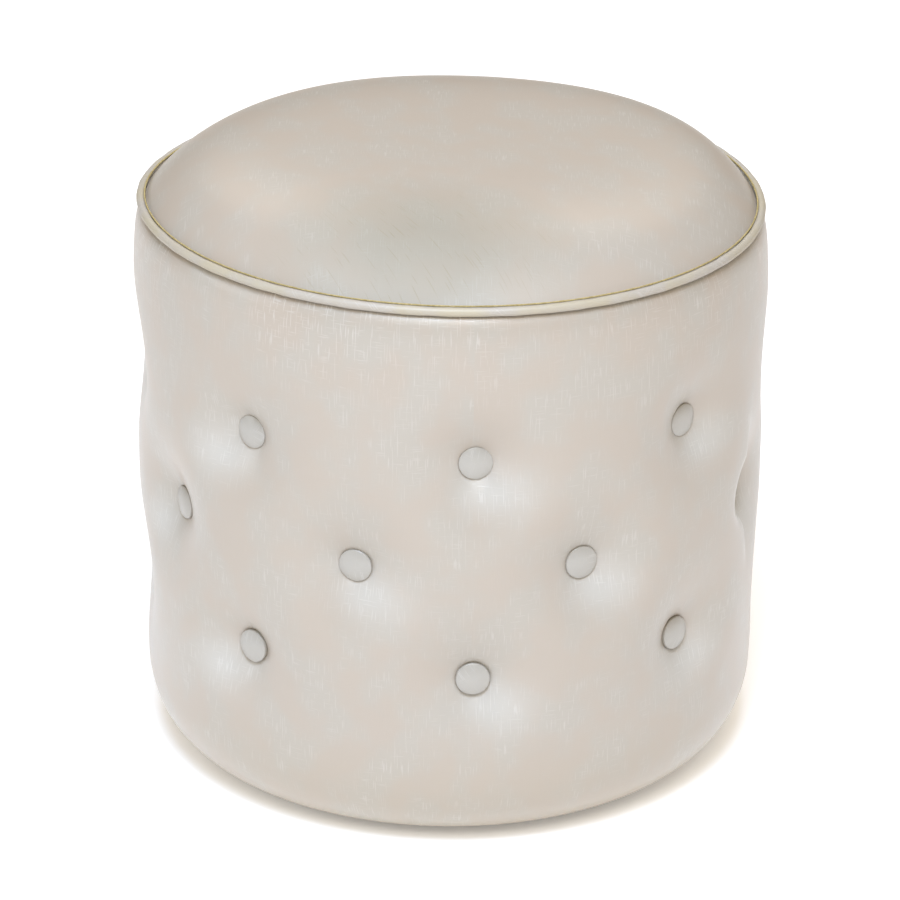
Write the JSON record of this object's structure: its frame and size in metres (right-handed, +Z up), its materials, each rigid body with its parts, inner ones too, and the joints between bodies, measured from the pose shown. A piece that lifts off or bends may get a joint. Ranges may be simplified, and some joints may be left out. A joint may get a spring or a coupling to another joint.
{
  "type": "round tufted ottoman",
  "caption": "Round drum-shaped footstool with a crowned padded top, welted edge and button-tufted padded side.",
  "frame": {"origin": "centre of the floor plane under the drum, at the bottom of the glides", "axes": "+Z up along the drum's axis; -Y is the side that the picture faces, +X is to its right"},
  "size_m": [0.4568, 0.4568, 0.457],
  "materials": {
    "cover": "coated linen-look upholstery leathercloth, pearl cream, soft satin sheen",
    "foam": "open-cell upholstery foam, matte",
    "plywood": "sanded plywood, bare",
    "softwood": "planed softwood, bare",
    "hardboard": "tempered hardboard, smooth face out",
    "steel": "zinc-plated steel",
    "twine": "waxed upholstery twine",
    "toggle": "plain wooden toggles",
    "dust_cover": "black nonwoven cambric, matte",
    "glide": "moulded nylon, matte dark brown"
  },
  "bodies": {
    "root": {"side_cover": "cover", "top_cover": "cover", "welt": "cover", "buttons_upper": "cover", "buttons_middle": "cover", "buttons_lower": "cover", "side_foam": "foam", "top_foam": "foam", "base_ring": "plywood", "top_deck": "plywood", "post_1": "softwood", "post_2": "softwood", "post_3": "softwood", "post_4": "softwood", "side_wall": "hardboard", "frame_screws": "steel", "glide_nails": "steel", "button_plates": "steel", "tufting_twines": "twine", "twine_toggles": "toggle", "dust_cover": "dust_cover", "glide_1": "glide", "glide_2": "glide", "glide_3": "glide", "glide_4": "glide"}
  },
  "joints": []
}
